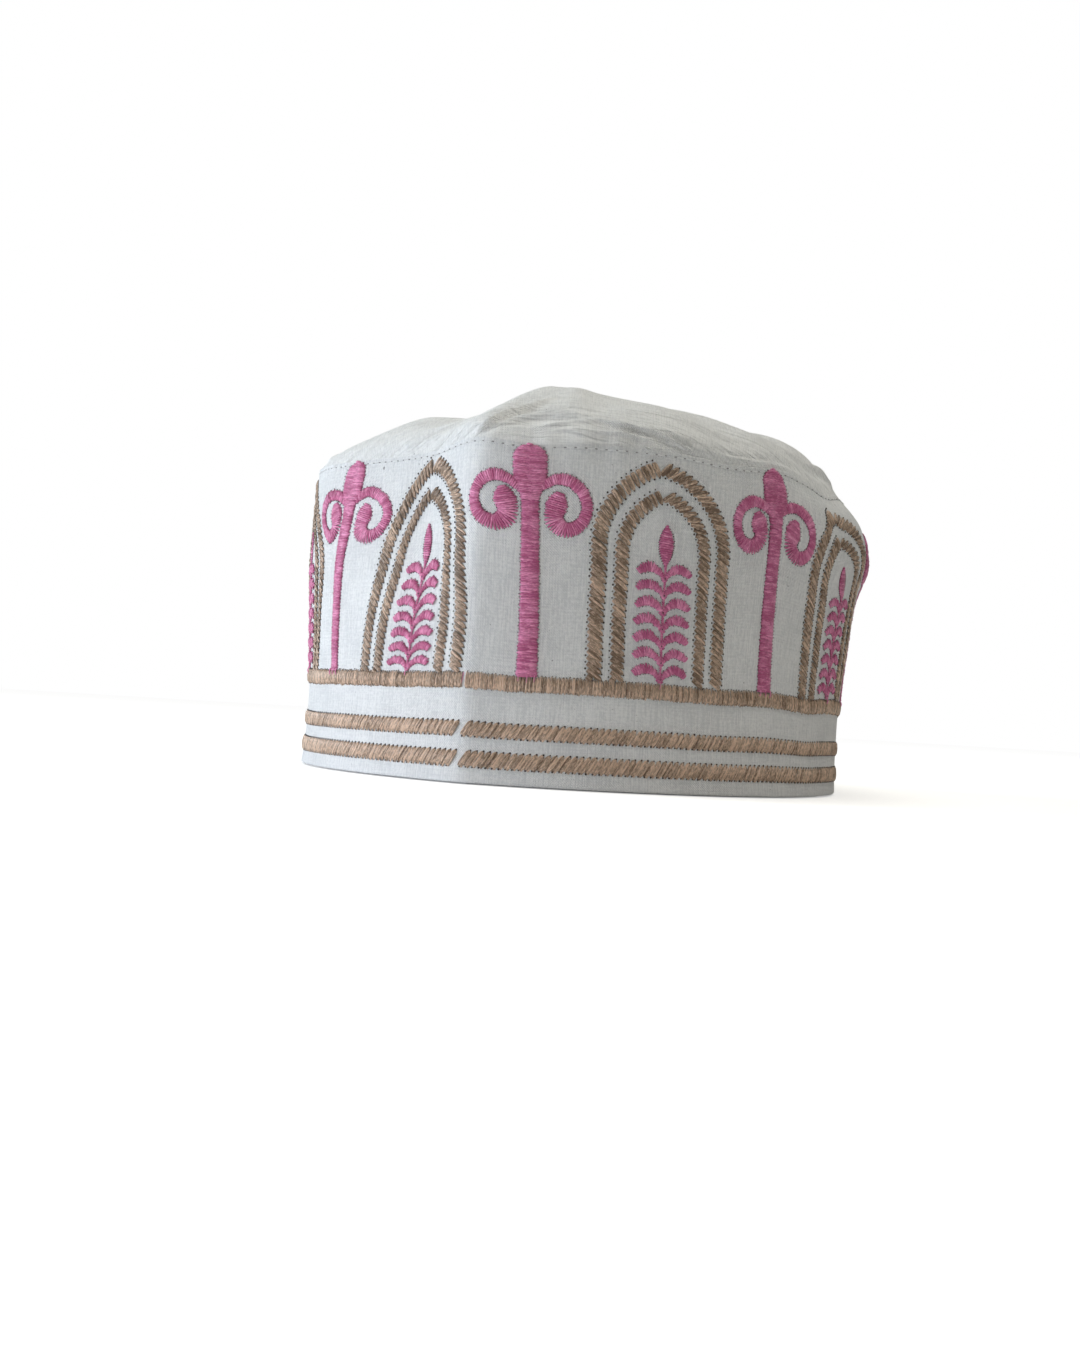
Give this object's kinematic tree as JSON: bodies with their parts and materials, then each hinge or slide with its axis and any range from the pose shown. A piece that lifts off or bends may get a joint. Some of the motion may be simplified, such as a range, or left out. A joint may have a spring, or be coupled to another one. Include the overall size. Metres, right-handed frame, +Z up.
{
  "type": "kufi",
  "caption": "Brimless oval cap with a stiff embroidered band, arches and columns over striped borders, and a soft low domed crown.",
  "frame": {"origin": "centre of the cap's bounding box, level with the rim it rests on", "axes": "+Z up to the crown, -Y at the wearer's back, +Y at the forehead, +X to the wearer's right"},
  "size_m": [0.1768, 0.2004, 0.1166],
  "materials": {
    "white_cotton": "matt plain-woven cotton",
    "lining_cotton": "matt plain-woven cotton",
    "tan_thread": "satin embroidery thread",
    "pink_thread": "satin embroidery thread"
  },
  "bodies": {
    "root": {"outer_band": "white_cotton", "lining": "lining_cotton", "crown": "white_cotton", "border_lower": "tan_thread", "border_upper": "tan_thread", "border_wide": "tan_thread", "arch_outer_1": "tan_thread", "arch_inner_1": "tan_thread", "shaft_1": "pink_thread", "volute_left_1": "pink_thread", "volute_right_1": "pink_thread", "frond_1": "pink_thread", "arch_outer_2": "tan_thread", "arch_inner_2": "tan_thread", "shaft_2": "pink_thread", "volute_left_2": "pink_thread", "volute_right_2": "pink_thread", "frond_2": "pink_thread", "arch_outer_3": "tan_thread", "arch_inner_3": "tan_thread", "shaft_3": "pink_thread", "volute_left_3": "pink_thread", "volute_right_3": "pink_thread", "frond_3": "pink_thread", "arch_outer_4": "tan_thread", "arch_inner_4": "tan_thread", "shaft_4": "pink_thread", "volute_left_4": "pink_thread", "volute_right_4": "pink_thread", "frond_4": "pink_thread", "arch_outer_5": "tan_thread", "arch_inner_5": "tan_thread", "shaft_5": "pink_thread", "volute_left_5": "pink_thread", "volute_right_5": "pink_thread", "frond_5": "pink_thread", "arch_outer_6": "tan_thread", "arch_inner_6": "tan_thread", "shaft_6": "pink_thread", "volute_left_6": "pink_thread", "volute_right_6": "pink_thread", "frond_6": "pink_thread", "arch_outer_7": "tan_thread", "arch_inner_7": "tan_thread", "shaft_7": "pink_thread", "volute_left_7": "pink_thread", "volute_right_7": "pink_thread", "frond_7": "pink_thread", "arch_outer_8": "tan_thread", "arch_inner_8": "tan_thread", "shaft_8": "pink_thread", "volute_left_8": "pink_thread", "volute_right_8": "pink_thread", "frond_8": "pink_thread"}
  },
  "joints": []
}
